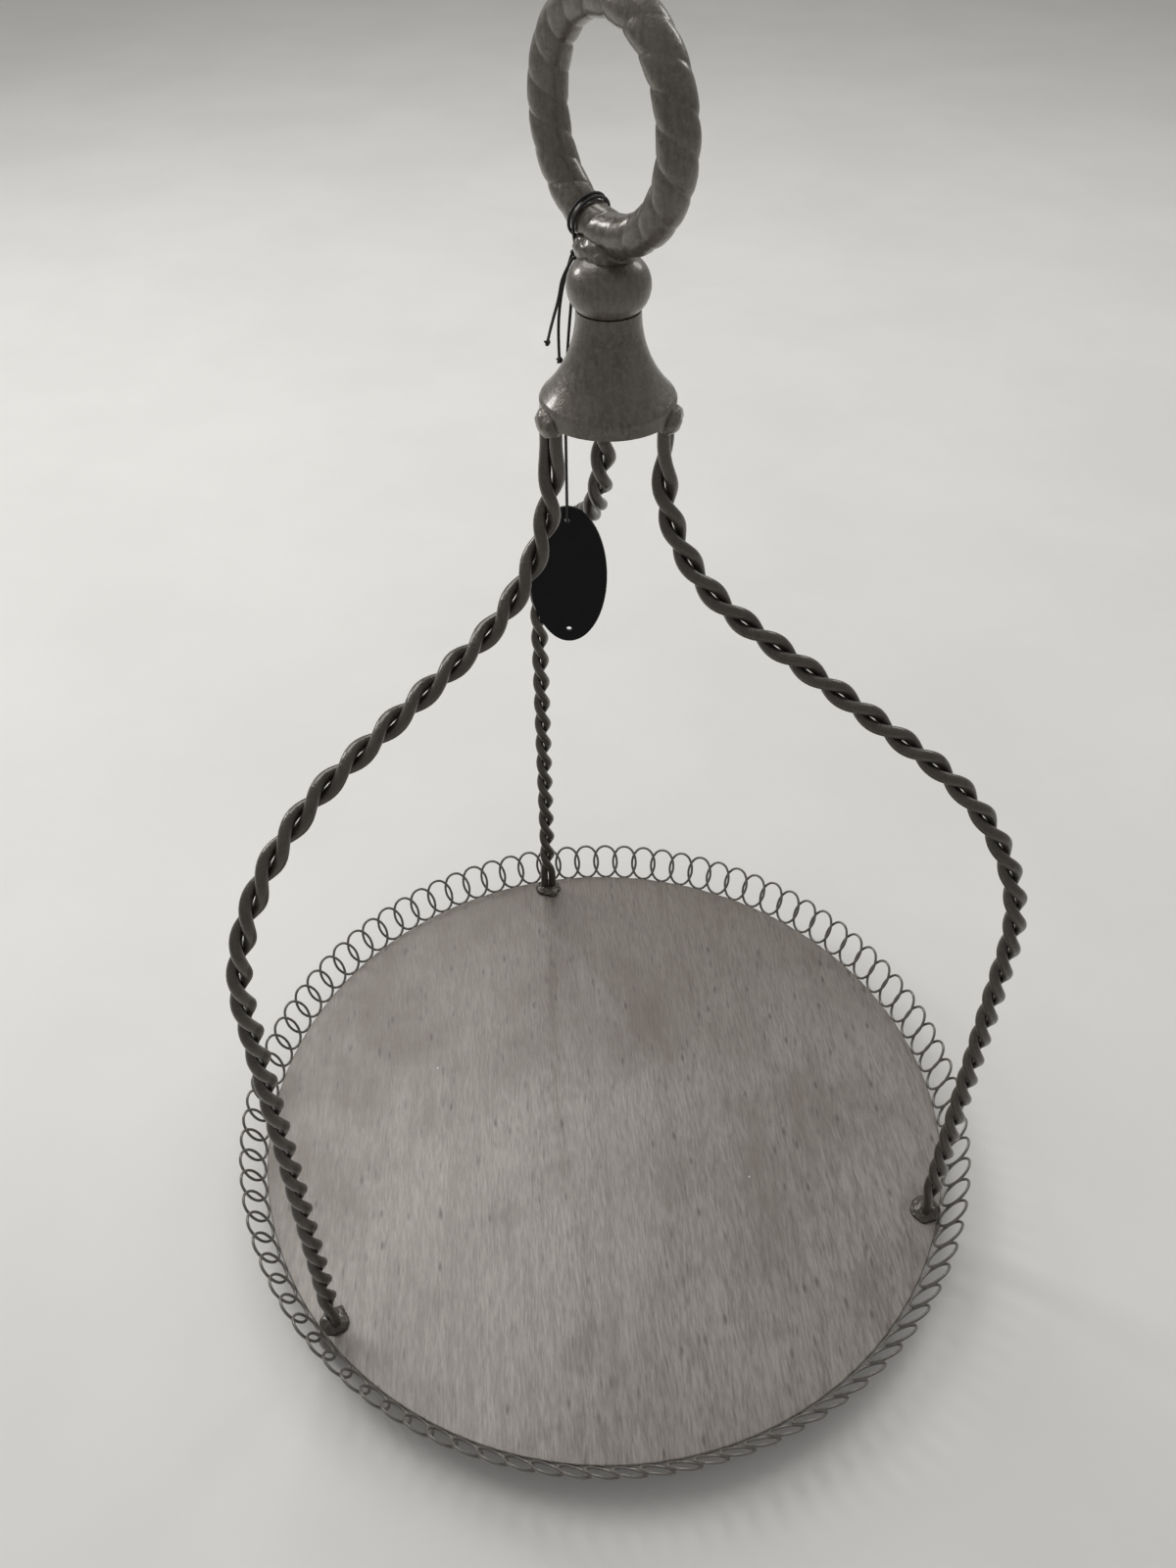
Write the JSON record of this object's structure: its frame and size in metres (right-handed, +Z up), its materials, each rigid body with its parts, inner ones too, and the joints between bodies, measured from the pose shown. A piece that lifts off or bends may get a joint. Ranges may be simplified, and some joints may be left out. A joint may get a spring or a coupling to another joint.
{
  "type": "hanging fruit basket",
  "caption": "Round flat tray edged with lapped wire rings on ball feet, carried by twisted-rod legs that draw in to a small bell, knob and hanging ring with a tag on a cord.",
  "frame": {"origin": "centre of the tray, on the plane that the feet stand on", "axes": "+Z up to the hanging ring, -Y towards the viewer of the picture, +X to the viewer's right"},
  "size_m": [0.3406, 0.3406, 0.4985],
  "materials": {
    "tray_paint": "aged brushed wash, satin",
    "rod_paint": "dark brown, semi gloss",
    "bell_paint": "dark brown, semi gloss",
    "gallery_paint": "dark brown, semi gloss",
    "tag_black": "satin",
    "cord_black": "waxed"
  },
  "bodies": {
    "basket_frame": {"base_weld_back": "rod_paint", "base_weld_left": "rod_paint", "base_weld_right": "rod_paint", "bell": "bell_paint", "cord_knot": "cord_black", "cord_tail_long": "cord_black", "cord_tail_short": "cord_black", "cord_winding": "cord_black", "foot_back": "rod_paint", "foot_left": "rod_paint", "foot_right": "rod_paint", "gallery_rings_01": "gallery_paint", "gallery_rings_02": "gallery_paint", "gallery_rings_03": "gallery_paint", "gallery_rings_04": "gallery_paint", "gallery_rings_05": "gallery_paint", "gallery_rings_06": "gallery_paint", "gallery_rings_07": "gallery_paint", "gallery_rings_08": "gallery_paint", "gallery_rings_09": "gallery_paint", "gallery_rings_10": "gallery_paint", "gallery_rings_11": "gallery_paint", "gallery_rings_12": "gallery_paint", "hanging_ring": "bell_paint", "knob": "bell_paint", "leg_back_rod_a": "rod_paint", "leg_back_rod_b": "rod_paint", "leg_left_rod_a": "rod_paint", "leg_left_rod_b": "rod_paint", "leg_right_rod_a": "rod_paint", "leg_right_rod_b": "rod_paint", "rim_weld_back": "rod_paint", "rim_weld_left": "rod_paint", "rim_weld_right": "rod_paint", "ring_weld": "bell_paint", "tail_knot_long": "cord_black", "tail_knot_short": "cord_black", "tray_disc": "tray_paint"},
    "tag_cord": {"cord_drop": "cord_black"},
    "tag": {"tag_plate": "tag_black"}
  },
  "joints": [
    {"name": "cord_swing", "type": "hinge", "parent": "basket_frame", "child": "tag_cord", "pos_m": [-0.00935, 0.01273, 0.4259], "axis": [0.8059, 0.592, 0], "range_deg": [0, 40]},
    {"name": "tag_turn", "type": "hinge", "parent": "tag_cord", "child": "tag", "pos_m": [-0.0133, 0.0181, 0.3363], "axis": [0, 0, 1], "range_deg": [-30, 30]}
  ]
}
